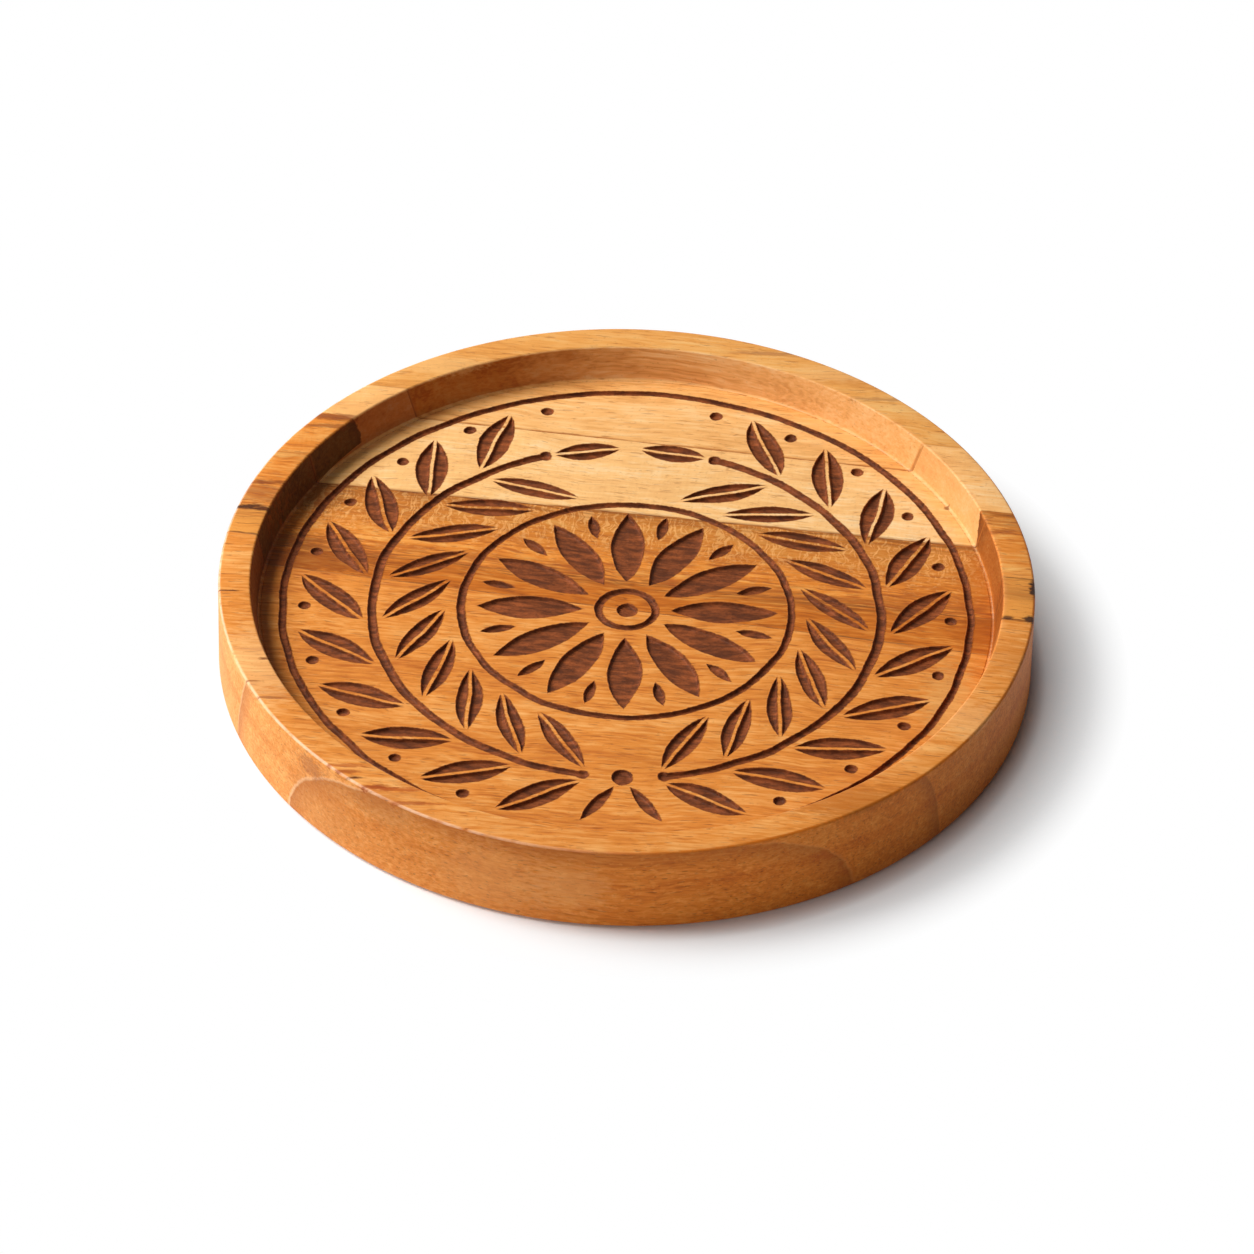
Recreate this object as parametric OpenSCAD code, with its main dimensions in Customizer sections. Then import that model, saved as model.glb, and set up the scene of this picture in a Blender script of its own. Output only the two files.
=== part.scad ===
// Round wooden drink coaster: a dished blank of five edge-glued staves, with a carved recess floor.
// The origin is the middle of the underside. The staves run left to right, and +Y is the back.

/* [Coaster] */
// Outer diameter
coaster_d = 100; // [90:1:120]
// Height over all
coaster_h = 12; // [10:0.5:16]
// Width of the rim at its top
rim_w = 3.9; // [3:0.1:6]
// Depth of the recess that the glass stands in
recess_h = 4.5; // [3:0.1:6]
// How far the recess wall leans in on its way down to the floor
wall_lean = 0.9; // [0.2:0.1:1.5]
// Rounding of the outer edges, top and bottom
edge_r = 0.4; // [0.3:0.1:1.5]
// Rounding of the inner edge of the rim
lip_r = 0.4; // [0.2:0.1:0.8]
// Rounding in the corner between wall and floor
cove_r = 0.6; // [0.3:0.1:1]

/* [Staves] */
// Distance of the back glue joint behind the middle of the coaster
back_joint_y = 32.8; // [29:0.1:36]
// Distance of the joint between the pale and the brown stave behind the middle
pale_joint_y = 18.5; // [13:0.1:23]
// Distance of the joint between the brown and the narrow stave behind the middle
brown_joint_y = 5.3; // [4:0.1:8]
// Distance of the joint of the front stave behind the middle
front_joint_y = 0; // [-6:0.1:1]
// Thickness of a glue film
glue_t = 0.15; // [0.1:0.01:0.3]

/* [Carving] */
// Depth of the carving below the recess floor
carve_h = 0.5; // [0.4:0.1:1.5]
// Plain wood between the foot of the wall and the outer ring groove
border_w = 2; // [1:0.1:3]
// Width of the ring grooves
ring_w = 0.9; // [0.6:0.1:1.3]
// Width of the stems of the wreath
stem_w = 1.1; // [0.7:0.1:1.4]
// Wood left between neighbouring cuts
land_w = 0.7; // [0.5:0.1:1]
// Pairs of leaves on each of the two branches
pairs = 10; // [8:1:11]
// Width of the leaves on the outer side of a stem
outer_leaf_w = 3.9; // [3:0.1:4.2]
// Width of the leaves on the inner side of a stem
inner_leaf_w = 3.1; // [2.4:0.1:3.4]
// Wood left standing as the rib of a leaf
rib_w = 0.5; // [0.3:0.1:0.7]
// Radius of the berries among the leaves
berry_r = 0.75; // [0.5:0.05:0.9]
// Radius of the flower in the middle
flower_r = 18.4; // [15:0.1:19]
// Petals of the flower
petals = 12; // [8:1:13]
// Width of a petal
petal_w = 4; // [3:0.1:4.5]
// Radius of the flower's eye
eye_r = 4; // [3:0.1:5]

/* [Hidden] */
$fn = 120;
overrun = 1;
reach = coaster_d;

// The glue joints from back to front, with their slant across the coaster in degrees
joint_y = [back_joint_y, pale_joint_y, brown_joint_y, front_joint_y];
joint_turn = [-7.4, -6.5, -6.9, -8.8];

out_r = coaster_d / 2;
mouth_r = out_r - rim_w;
floor_r = mouth_r - wall_lean;
floor_z = coaster_h - recess_h;
carve_z = floor_z - carve_h;

// Tilt of the recess wall from upright, and how far a rounding in its corners is set back
tilt = atan(wall_lean / recess_h);
setback = (1 - sin(tilt)) / cos(tilt);
lip_c = [mouth_r + lip_r * setback, coaster_h - lip_r];
cove_c = [floor_r - cove_r * setback, floor_z + cove_r];
wall_normal = [-cos(tilt), sin(tilt)];

// Rings of the carving, each by the radius of its middle line
outer_ring_r = cove_c[0] - border_w - ring_w / 2;
inner_ring_r = flower_r + 2 * land_w + ring_w / 2;
stem_r = (outer_ring_r + inner_ring_r) / 2;

// A branch runs anticlockwise from near the front to near the back, where it ends in a single leaf
stem_start = -81;
stem_end = 70;
pair_turn = (stem_end - stem_start) / pairs;
stalk_gap = stem_w / 2 + land_w;

// Radii at which the leaves end, and how far round the coaster each reaches, in steps of the pairs
outer_tip_r = outer_ring_r - ring_w / 2 - 2 * land_w;
inner_tip_r = inner_ring_r + ring_w / 2 + 2 * land_w;
outer_turn_share = 0.86;
inner_turn_share = 1.24;
berry_turn_share = 1.3;
bud_r = 0.7 * stem_w;
knot_r = 1.2 * stem_w;
tail_l = outer_tip_r - stem_r - knot_r - land_w;
tail_w = inner_leaf_w / 2;
tail_turn = 32;

petal_l = flower_r - eye_r - 2 * land_w;
dart_l = petal_l / 3;
dart_w = petal_w / 3;
seed_r = eye_r / 3;

// Outline of the turned blank from its axis outwards
module blank_section() {
    difference() {
        square([out_r, coaster_h]);
        recess_section();
        translate([out_r - edge_r, coaster_h - edge_r]) corner_waste(edge_r);
        translate([out_r - edge_r, edge_r]) mirror([0, 1]) corner_waste(edge_r);
    }
}

// What a rounding takes off a square corner
module corner_waste(r) {
    difference() {
        square(r + overrun);
        circle(r);
    }
}

// Outline of the recess, with the rounded lip above and the cove below
module recess_section() {
    difference() {
        union() {
            polygon([
                [0, floor_z],
                [cove_c[0], floor_z],
                cove_c,
                cove_c - cove_r * wall_normal,
                lip_c + lip_r * wall_normal,
                lip_c,
                [lip_c[0], coaster_h + overrun],
                [0, coaster_h + overrun]
            ]);
            translate(cove_c) circle(cove_r);
        }
        translate(lip_c) circle(lip_r);
    }
}

module blank() {
    rotate_extrude() blank_section();
}

// A cut of the carving: its outline, sunk from above the floor to the carving's depth
module cut() {
    translate([0, 0, carve_z]) linear_extrude(carve_h + overrun) children();
}

module ring_groove(r) {
    cut() difference() {
        circle(r + ring_w / 2);
        circle(r - ring_w / 2);
    }
}

// A leaf outline of two arcs that meet in points, from the origin along +X
module lens(l, w) {
    arc_r = (l * l + w * w) / (4 * w);
    translate([l / 2, 0]) intersection() {
        translate([0, arc_r - w / 2]) circle(arc_r);
        translate([0, w / 2 - arc_r]) circle(arc_r);
    }
}

// A leaf with its rib, which starts at one radius and ends at another, a turn further round
module leaf(start_r, tip_r, turn, w) {
    to = [tip_r * cos(turn) - start_r, tip_r * sin(turn)];
    translate([start_r, 0, 0]) rotate([0, 0, atan2(to[1], to[0])]) cut() difference() {
        lens(norm(to), w);
        translate([-overrun, -rib_w / 2]) square([norm(to) + 2 * overrun, rib_w]);
    }
}

// The stem of a branch, an arc about the middle of the coaster with a bud at each end
module stem() {
    translate([0, 0, carve_z]) rotate([0, 0, stem_start]) rotate_extrude(angle = stem_end - stem_start)
        translate([stem_r - stem_w / 2, 0]) square([stem_w, carve_h + overrun]);
    for (a = [stem_start, stem_end])
        rotate([0, 0, a]) translate([stem_r, 0, 0]) cut() circle(bud_r);
}

module branch() {
    stem();
    for (i = [0 : pairs - 1]) rotate([0, 0, stem_start + pair_turn * i]) {
        leaf(stem_r + stalk_gap, outer_tip_r, pair_turn * outer_turn_share, outer_leaf_w);
        leaf(stem_r - stalk_gap, inner_tip_r, pair_turn * inner_turn_share, inner_leaf_w);
        rotate([0, 0, pair_turn * berry_turn_share]) translate([outer_tip_r - berry_r, 0, 0])
            cut() circle(berry_r);
    }
    rotate([0, 0, stem_end + atan(stalk_gap / stem_r)])
        leaf(stem_r, stem_r, 90 - stem_end - 2 * atan(stalk_gap / stem_r), inner_leaf_w);
}

// Two branches that grow up the left and the right side, tied with a knot in front where they start
module wreath() {
    for (side = [0, 1]) mirror([side, 0, 0]) {
        branch();
        translate([0, -stem_r, 0]) rotate([0, 0, tail_turn - 90]) translate([knot_r + land_w, 0, 0])
            cut() lens(tail_l, tail_w);
    }
    translate([0, -stem_r, 0]) cut() circle(knot_r);
}

module flower() {
    cut() circle(seed_r);
    cut() difference() {
        circle(eye_r);
        circle(eye_r - ring_w);
    }
    for (i = [0 : petals - 1]) rotate([0, 0, 360 / petals * i]) {
        translate([eye_r + 2 * land_w, 0, 0]) cut() lens(petal_l, petal_w);
        rotate([0, 0, 180 / petals]) translate([flower_r - dart_l, 0, 0]) cut() lens(dart_l, dart_w);
    }
}

module carving() {
    ring_groove(outer_ring_r);
    ring_groove(inner_ring_r);
    wreath();
    flower();
}

// All that lies behind glue joint k, or in front of it, from a distance off its middle plane
module behind(k, off) {
    translate([0, joint_y[k], -overrun]) rotate([0, 0, joint_turn[k]])
        translate([-reach, off, 0]) cube([2 * reach, 2 * reach, coaster_h + 2 * overrun]);
}

module ahead(k, off) {
    translate([0, joint_y[k], -overrun]) rotate([0, 0, joint_turn[k]])
        translate([-reach, -off - 2 * reach, 0]) cube([2 * reach, 2 * reach, coaster_h + 2 * overrun]);
}

// The stave between two joints, where the last joint may be missing at either end
module stave(back_k, front_k) {
    difference() {
        intersection() {
            blank();
            if (back_k >= 0) ahead(back_k, glue_t / 2);
            if (front_k < len(joint_y)) behind(front_k, glue_t / 2);
        }
        carving();
    }
}

module glue_line(k) {
    color("#4a2c16") difference() {
        intersection() {
            blank();
            behind(k, -glue_t / 2);
            ahead(k, -glue_t / 2);
        }
        carving();
    }
}

module back_stave() {
    color("#eeb274") stave(-1, 0);
}

module pale_stave() {
    color("#f3bd80") stave(0, 1);
}

module brown_stave() {
    color("#d08a45") stave(1, 2);
}

module narrow_stave() {
    color("#b97231") stave(2, 3);
}

module front_stave() {
    color("#d98b4a") stave(3, 4);
}

back_stave();
pale_stave();
brown_stave();
narrow_stave();
front_stave();
glue_line(0);  // glue_line_back
glue_line(1);  // glue_line_pale
glue_line(2);  // glue_line_brown
glue_line(3);  // glue_line_front
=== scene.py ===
"""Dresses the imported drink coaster: five edge-glued teak staves, turned and dished, with a burned wreath carving.

Lengths are millimetres until a finished mesh is scaled to metres. +Y is the back, and the underside is at Z 0.
"""

from collections import namedtuple
from math import atan, atan2, ceil, cos, degrees, hypot, pi, radians, sin, sqrt

import bmesh
import bpy
from mathutils import Matrix, Vector, noise


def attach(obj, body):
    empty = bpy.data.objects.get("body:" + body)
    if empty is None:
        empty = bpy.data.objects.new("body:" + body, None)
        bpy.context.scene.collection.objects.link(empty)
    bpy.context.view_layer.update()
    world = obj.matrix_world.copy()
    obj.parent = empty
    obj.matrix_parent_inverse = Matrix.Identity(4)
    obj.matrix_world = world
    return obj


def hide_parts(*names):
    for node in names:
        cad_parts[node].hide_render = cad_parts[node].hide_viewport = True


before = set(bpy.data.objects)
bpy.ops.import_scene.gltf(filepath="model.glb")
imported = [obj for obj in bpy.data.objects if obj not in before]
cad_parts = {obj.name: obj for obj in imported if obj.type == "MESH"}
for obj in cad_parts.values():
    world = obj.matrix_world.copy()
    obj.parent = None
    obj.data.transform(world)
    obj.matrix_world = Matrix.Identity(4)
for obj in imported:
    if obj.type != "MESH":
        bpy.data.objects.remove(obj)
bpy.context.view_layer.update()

MM = 0.001

# The turned blank, as the CAD part has it, but with a rounder lower edge and a finer lip
OUT_R = 50
COASTER_H = 12
RIM_W = 3.9
RECESS_H = 4.5
WALL_LEAN = 0.9
EDGE_R = 0.4
UNDER_R = 0.8
LIP_R = 0.3
COVE_R = 0.6
FLOOR_Z = COASTER_H - RECESS_H

# Tilt of the recess wall from upright, and the middles of the roundings at its top and foot
TILT = atan(WALL_LEAN / RECESS_H)
SETBACK = (1 - sin(TILT)) / cos(TILT)
LIP_C = (OUT_R - RIM_W + LIP_R * SETBACK, COASTER_H - LIP_R)
COVE_C = (OUT_R - RIM_W - WALL_LEAN - COVE_R * SETBACK, FLOOR_Z + COVE_R)

# The glue joints from back to front: distance behind the middle, slant in degrees, and film thickness
JOINTS = ((32.8, -7.4), (18.5, -6.5), (5.3, -6.9), (0, -8.8))
GLUE_T = 0.15

# The carving: depth, widths and radii
CARVE_H = 0.5
BORDER_W = 2
RING_W = 0.9
STEM_W = 1.1
LAND_W = 0.7
PAIRS = 10
OUTER_LEAF_W = 3.9
INNER_LEAF_W = 3.1
RIB_W = 0.5
BERRY_R = 0.75
FLOWER_R = 18.4
PETALS = 12
PETAL_W = 4
EYE_R = 4

OUTER_RING_R = COVE_C[0] - BORDER_W - RING_W / 2
INNER_RING_R = FLOWER_R + 2 * LAND_W + RING_W / 2
STEM_R = (OUTER_RING_R + INNER_RING_R) / 2
STEM_START = radians(-81)
STEM_END = radians(70)
PAIR_TURN = (STEM_END - STEM_START) / PAIRS
STALK_GAP = STEM_W / 2 + LAND_W
OUTER_TIP_R = OUTER_RING_R - RING_W / 2 - 2 * LAND_W
INNER_TIP_R = INNER_RING_R + RING_W / 2 + 2 * LAND_W
BUD_R = 0.7 * STEM_W
KNOT_R = 1.2 * STEM_W
TAIL_L = OUTER_TIP_R - STEM_R - KNOT_R - LAND_W
TAIL_TURN = radians(32)
PETAL_L = FLOWER_R - EYE_R - 2 * LAND_W
DART_L = PETAL_L / 3
DART_W = PETAL_W / 3
SEED_R = EYE_R / 3

# How far round the coaster the leaves and the berries reach, in steps of the pairs
OUTER_TURN_SHARE = 0.86
INNER_TURN_SHARE = 1.24
BERRY_TURN_SHARE = 1.3

# Cross-section of a cut from its edge inwards: distance in, share of the depth, and how far the wood is burned.
# The first step lies outside the cut, where the scorch fades out on the flat floor.
CUT_STEPS = (
    (-0.15, 0, 0),
    (0, 0.04, 0.7),
    (0.05, 0.24, 1),
    (0.11, 0.6, 1),
    (0.18, 0.86, 1),
    (0.29, 0.97, 1),
)
# Greatest distance between two outlines on the bottom of a cut
BOTTOM_STEP = 0.45
# Steps along a stem between its buds, and round the turning
STEM_PARTS = 130
SPIN_STEPS = 288
BURN = "burn"

# The foot of the wall as turned: its rounding is finer than the solid's, and the tool leaves a line beside it, with
# its width, its depth, and how dark it is drawn
FOOT_R = 0.3
FOOT_C = (OUT_R - RIM_W - WALL_LEAN - FOOT_R * SETBACK, FLOOR_Z + FOOT_R)
FOOT_LINE_W = 0.14
FOOT_LINE_H = 0.07
FOOT_LINE_DARKNESS = 0.4

# A hand-guided cutter wanders: how far and over what length, broadly and finely. It leaves the bottoms uneven: by how
# much, and over what length.
WANDER = ((0.26, 5), (0.08, 1.1))
CUT_UNEVEN = 0.1
UNEVEN_L = 1.1
noise.seed_set(11)


# ---- The turned blank and its carving, in one bmesh ----
def arc(centre, r, start, end, steps):
    """Points of an arc in the (radius, height) plane, from one direction to another, in degrees."""
    turns = [radians(start + (end - start) * i / steps) for i in range(steps + 1)]
    return [(centre[0] + r * cos(a), centre[1] + r * sin(a)) for a in turns]


def cut_section(middle):
    """The steps of a cut down to its middle, for a cut whose half width is middle."""
    steps = [step for step in CUT_STEPS if step[0] < 0.8 * middle]
    last = steps[-1][0]
    parts = max(1, ceil((middle - last) / BOTTOM_STEP))
    return steps + [(last + (middle - last) * i / parts, 1, 1) for i in range(1, parts + 1)]


def groove(middle_r):
    """Section points (radius, height, burn) across a ring groove, from its outer edge to its inner one."""
    half = [(RING_W / 2 - inset, FLOOR_Z - CARVE_H * share, burnt) for inset, share, burnt in cut_section(RING_W / 2)]
    outer = [(middle_r + off, z, burnt) for off, z, burnt in half]
    inner = [(middle_r - off, z, burnt) for off, z, burnt in reversed(half[:-1])]
    return outer + inner


def turn(bm, section):
    """Turns a section of (radius, height, burn) points about the coaster's axis."""
    burn = bm.verts.layers.float[BURN]
    chain = []
    for r, z, burnt in section:
        point = bm.verts.new((r, 0, z))
        point[burn] = burnt
        chain.append(point)
    edges = [bm.edges.new(pair) for pair in zip(chain, chain[1:])]
    bmesh.ops.spin(bm, geom=chain + edges, cent=(0, 0, 0), axis=(0, 0, 1), dvec=(0, 0, 0), angle=2 * pi,
                   steps=SPIN_STEPS, use_merge=True, use_normal_flip=False, use_duplicate=False)


def blade(length, width, inset, ribbed=False, steps=18):
    """Outline of a leaf-shaped cut from the origin along +X, moved in by inset. A ribbed one is its left half."""
    arc_r = (length**2 + width**2) / (4 * width)
    drop = arc_r - width / 2
    low = RIB_W / 2 + inset if ribbed else 0
    r = arc_r - inset
    half = sqrt(max(r**2 - (drop + low) ** 2, 0))
    along = [-half * cos(pi * i / steps) for i in range(steps + 1)]
    left = [(length / 2 + x, sqrt(max(r**2 - x**2, 0)) - drop) for x in along]
    right = [(x, low if ribbed else -y) for x, y in left]
    return left + right[-2:0:-1]


def stem(inset):
    """Outline of a stem along its arc, with a bud at each end, moved in by inset."""
    length = STEM_R * (STEM_END - STEM_START)
    bud_r = BUD_R * (1 - inset / (STEM_W / 2))
    half_w = STEM_W / 2 - inset
    end = [-bud_r * cos(pi / 2 * i / 6) for i in range(6)] + [bud_r * sin(pi / 2 * i / 6) for i in range(6)]
    clear = BUD_R * 1.3
    run = [clear + (length - 2 * clear) * i / STEM_PARTS for i in range(STEM_PARTS + 1)]
    along = end + run + [length - s for s in reversed(end)]
    left = []
    for s in along:
        off_end = min(abs(s), abs(s - length))
        bud = sqrt(max(bud_r**2 - off_end**2, 0))
        left.append((s, bud if s < 0 or s > length else max(bud, half_w)))
    outline = left + [(s, -y) for s, y in left[-2:0:-1]]
    return [((STEM_R + y) * cos(STEM_START + s / STEM_R), (STEM_R + y) * sin(STEM_START + s / STEM_R))
            for s, y in outline]


def sink(bm, outline, middle, place):
    """Sinks a cut: nested outlines from its edge to its middle, each a row of a grid whose ends are welded later."""
    burn = bm.verts.layers.float[BURN]
    steps = cut_section(middle)
    around = len(outline(0))
    grid = bmesh.ops.create_grid(bm, x_segments=around, y_segments=len(steps) - 1, size=1)["verts"]
    for row, (inset, share, burnt) in enumerate(steps):
        points = outline(inset)
        for column in range(around + 1):
            x, y = points[column % around]
            corner = grid[row * (around + 1) + column]
            corner.co = place @ Vector((x, y, FLOOR_Z - CARVE_H * share))
            corner[burn] = burnt


def turned(angle):
    return Matrix.Rotation(angle, 4, "Z")


def leaf(bm, place, start_r, tip_r, reach, width):
    """Both halves of a leaf that starts at one radius and ends at another, a turn further round."""
    to_x = tip_r * cos(reach) - start_r
    to_y = tip_r * sin(reach)
    length = hypot(to_x, to_y)
    lie = place @ Matrix.Translation((start_r, 0, 0)) @ turned(atan2(to_y, to_x))
    for side in (1, -1):
        sink(bm, lambda inset: blade(length, width, inset, ribbed=True), (width - RIB_W) / 4,
             lie @ Matrix.Diagonal((1, side, 1, 1)))


def dot(bm, place, r):
    sink(bm, lambda inset: blade(2 * r, 2 * r, inset, steps=14), r, place @ Matrix.Translation((-r, 0, 0)))


def wreath(bm):
    """Two branches up the left and the right side, tied in front."""
    for side in (1, -1):
        mirror = Matrix.Diagonal((side, 1, 1, 1))
        sink(bm, stem, STEM_W / 2, mirror)
        for i in range(PAIRS):
            place = mirror @ turned(STEM_START + PAIR_TURN * i)
            leaf(bm, place, STEM_R + STALK_GAP, OUTER_TIP_R, PAIR_TURN * OUTER_TURN_SHARE, OUTER_LEAF_W)
            leaf(bm, place, STEM_R - STALK_GAP, INNER_TIP_R, PAIR_TURN * INNER_TURN_SHARE, INNER_LEAF_W)
            berry = place @ turned(PAIR_TURN * BERRY_TURN_SHARE)
            dot(bm, berry @ Matrix.Translation((OUTER_TIP_R - BERRY_R, 0, 0)), BERRY_R)
        gap = atan(STALK_GAP / STEM_R)
        leaf(bm, mirror @ turned(STEM_END + gap), STEM_R, STEM_R, pi / 2 - STEM_END - 2 * gap, INNER_LEAF_W)
        tail = mirror @ Matrix.Translation((0, -STEM_R, 0)) @ turned(TAIL_TURN - pi / 2)
        sink(bm, lambda inset: blade(TAIL_L, INNER_LEAF_W / 2, inset), INNER_LEAF_W / 4,
             tail @ Matrix.Translation((KNOT_R + LAND_W, 0, 0)))
    dot(bm, Matrix.Translation((0, -STEM_R, 0)), KNOT_R)


def flower(bm):
    """Petals and darts round the eye."""
    for i in range(PETALS):
        place = turned(2 * pi / PETALS * i)
        sink(bm, lambda inset: blade(PETAL_L, PETAL_W, inset, steps=26), PETAL_W / 2,
             place @ Matrix.Translation((EYE_R + 2 * LAND_W, 0, 0)))
        sink(bm, lambda inset: blade(DART_L, DART_W, inset, steps=14), DART_W / 2,
             place @ turned(pi / PETALS) @ Matrix.Translation((FLOWER_R - DART_L, 0, 0)))


def carved_blank():
    """The whole coaster in one piece: turned, then carved, then its flat floor filled in between the cuts."""
    bm = bmesh.new()
    bm.verts.layers.float.new(BURN)
    rim_c = OUT_R - EDGE_R
    tilt = degrees(TILT)
    body = [(0, 0), (OUT_R / 2, 0)]
    body += arc((OUT_R - UNDER_R, UNDER_R), UNDER_R, -90, 0, 8)
    body += [(OUT_R, COASTER_H / 2)]
    body += arc((rim_c, COASTER_H - EDGE_R), EDGE_R, 0, 90, 6)
    body += arc(LIP_C, LIP_R, 90, 180 - tilt, 5)
    body += arc(FOOT_C, FOOT_R, -tilt, -90, 5)
    foot = [(FOOT_C[0] - FOOT_LINE_W * share, FLOOR_Z - FOOT_LINE_H * deep, FOOT_LINE_DARKNESS * deep)
            for share, deep in ((0.3, 0), (0.8, 1), (1.3, 0))]
    eye = groove(EYE_R - RING_W / 2)
    seed = [(SEED_R - inset, FLOOR_Z - CARVE_H * share, burnt) for inset, share, burnt in cut_section(SEED_R)]
    outer = groove(OUTER_RING_R)
    inner = groove(INNER_RING_R)
    turn(bm, [(r, z, 0) for r, z in body] + foot + outer)
    turn(bm, inner)
    turn(bm, eye + seed)
    wreath(bm)
    flower(bm)
    bmesh.ops.remove_doubles(bm, verts=bm.verts, dist=0.0005)
    for far, near in ((outer[-1][0], inner[0][0]), (inner[-1][0], eye[0][0])):
        rims = [e for e in bm.edges if e.is_boundary
                and near - 0.01 < hypot(*((e.verts[0].co + e.verts[1].co) / 2).xy) < far + 0.01]
        bmesh.ops.triangle_fill(bm, use_beauty=True, use_dissolve=False, edges=rims)
    bmesh.ops.recalc_face_normals(bm, faces=bm.faces)
    return bm


def roughen(bm):
    """The carving is cut by hand: its outlines waver a little and the bottoms of the cuts are uneven."""
    burn = bm.verts.layers.float[BURN]
    for corner in bm.verts:
        flat = corner.co.xy.to_3d()
        depth = (FLOOR_Z - corner.co.z) / CARVE_H
        if not -0.001 < depth < 1.001 or flat.length > COVE_C[0]:
            continue
        hold = min(1, (COVE_C[0] - flat.length) / BORDER_W)
        for reach, length in WANDER:
            corner.co.xy += noise.noise_vector(flat / length + Vector((7, 3, length))).xy * reach * hold
        uneven = 0.5 + 0.5 * noise.noise(flat / UNEVEN_L + Vector((2, 9, 5)))
        corner.co.z += uneven * CUT_UNEVEN * depth * corner[burn]


# ---- The staves and the glue between them, sawn from the blank along the joints ----
def joint_plane(k, off):
    """A point and the normal of the plane along joint k, moved off behind its middle."""
    y, slant = JOINTS[k]
    normal = Vector((-sin(radians(slant)), cos(radians(slant)), 0))
    return Vector((0, y, 0)) + normal * off, normal


def saw(bm, plane, keep_behind):
    """Keeps what lies on one side of a plane, and closes the sawn face."""
    point, normal = plane
    whole = bm.verts[:] + bm.edges[:] + bm.faces[:]
    sawn = bmesh.ops.bisect_plane(bm, geom=whole, dist=0.0001, plane_co=point, plane_no=normal,
                                  clear_inner=keep_behind, clear_outer=not keep_behind)["geom_cut"]
    bmesh.ops.edgeloop_fill(bm, edges=[e for e in sawn if isinstance(e, bmesh.types.BMEdge)])


def sawn_part(blank, name, back, front):
    """The part of the blank between two planes, as an object in metres. A missing plane leaves that side whole."""
    bm = blank.copy()
    if back:
        saw(bm, back, False)
    if front:
        saw(bm, front, True)
    bmesh.ops.scale(bm, vec=(MM, MM, MM), verts=bm.verts)
    mesh = bpy.data.meshes.new(name)
    bm.to_mesh(mesh)
    bm.free()
    mesh.shade_smooth()
    mesh.set_sharp_from_angle(angle=radians(40))
    part = bpy.data.objects.new(name, mesh)
    bpy.context.scene.collection.objects.link(part)
    return part


# ---- Materials ----
FAC, FROM, TO = 0, 6, 7  # a colour Mix node's factor and its two colours, by their places on the node


def linear(hex_colour):
    """An sRGB hex colour as linear red, green, blue and alpha."""
    parts = [int(hex_colour[i:i + 2], 16) / 255 for i in (0, 2, 4)]
    return [c / 12.92 if c <= 0.04045 else ((c + 0.055) / 1.055) ** 2.4 for c in parts] + [1]


def add(tree, kind, sockets=None, out=None, **settings):
    """Adds a shader node with its settings and links. A socket gets a value or another node's output.

    Returns the output named, or else the first one in use.
    """
    made = tree.nodes.new("ShaderNode" + kind)
    for name, value in settings.items():
        setattr(made, name, value)
    for name, value in (sockets or {}).items():
        if isinstance(value, bpy.types.NodeSocket):
            tree.links.new(value, made.inputs[name])
        else:
            made.inputs[name].default_value = value
    return made.outputs[out] if out else next((o for o in made.outputs if o.enabled), None)


def new_tree(name):
    material = bpy.data.materials.new(name)
    material.use_nodes = True
    material.node_tree.nodes.clear()
    return material, material.node_tree


# What shows in teak, as noise: size along and across the grain in mm, and detail. Pores are their real size. Single
# fibres, soot and its grit are finer than this, and are drawn as coarse as they need to be to show.
Figure = namedtuple("Figure", "along across detail")
# A wood's shades, what its colour is multiplied by on the rim, on the recess wall, partly as painted shade, and on
# the wall's left part, as painted shade, and how much lighter its figure is where the rim is rubbed
Shades = namedtuple("Shades", "dark middle light pores rim wall left_wall rubbed")
# The figure makes the wood lighter or darker, each kind with its weight
BANDS = Figure(80, 6, 1)
STREAKS = Figure(45, 1.5, 2)
LINES = Figure(22, 0.45, 1)
FIBRES = Figure(4, 0.28, 1)
FLAMES = Figure(3.2, 0.55, 1)
MOTTLE = Figure(5, 3, 2)
CHATTER = Figure(0.4, 3, 1)
# Marks that are only darker or only lighter than the wood round them
PORES = Figure(2.2, 0.2, 0)
GLINTS = Figure(3, 0.3, 1)
SEAMS = Figure(30, 0.4, 2)
CURL = Figure(0.32, 2.2, 1)
WORMS = Figure(0.7, 0.45, 1)
STAINS = Figure(6, 0.8, 3)
RAGS = Figure(1.6, 0.35, 3)
SCUFFS = Figure(1.1, 0.5, 2)
WEAR = Figure(3, 3, 3)
SOOT = Figure(3, 0.7, 3)
GRIT = Figure(0.5, 0.35, 1)
# What the glue leaves beside and in a joint, and the deeper tone under the curl
GLUE_STAINS = Figure(6, 1, 2)
GLUE_DUST = Figure(2.5, 1, 2)
DEEPER = Figure(20, 8, 1)
# The ragged edge of a wood that leans into the next, and the gaps in the line along it
LEAN_RAGS = Figure(7, 1.6, 3)
LINE_GAPS = Figure(5, 0.4, 2)
# Bends of the grain: over what length, and how far it strays
GRAIN_BENDS = ((42, 5), (11, 1.1), (3, 0.45))


def in_mm(tree):
    """Places on the coaster in mm, and each of X, Y and Z by itself."""
    place = add(tree, "Mapping", {"Vector": add(tree, "TexCoord", out="Object"), "Scale": (1000, 1000, 1000)})
    return place, add(tree, "SeparateXYZ", {0: place}).node.outputs


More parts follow.
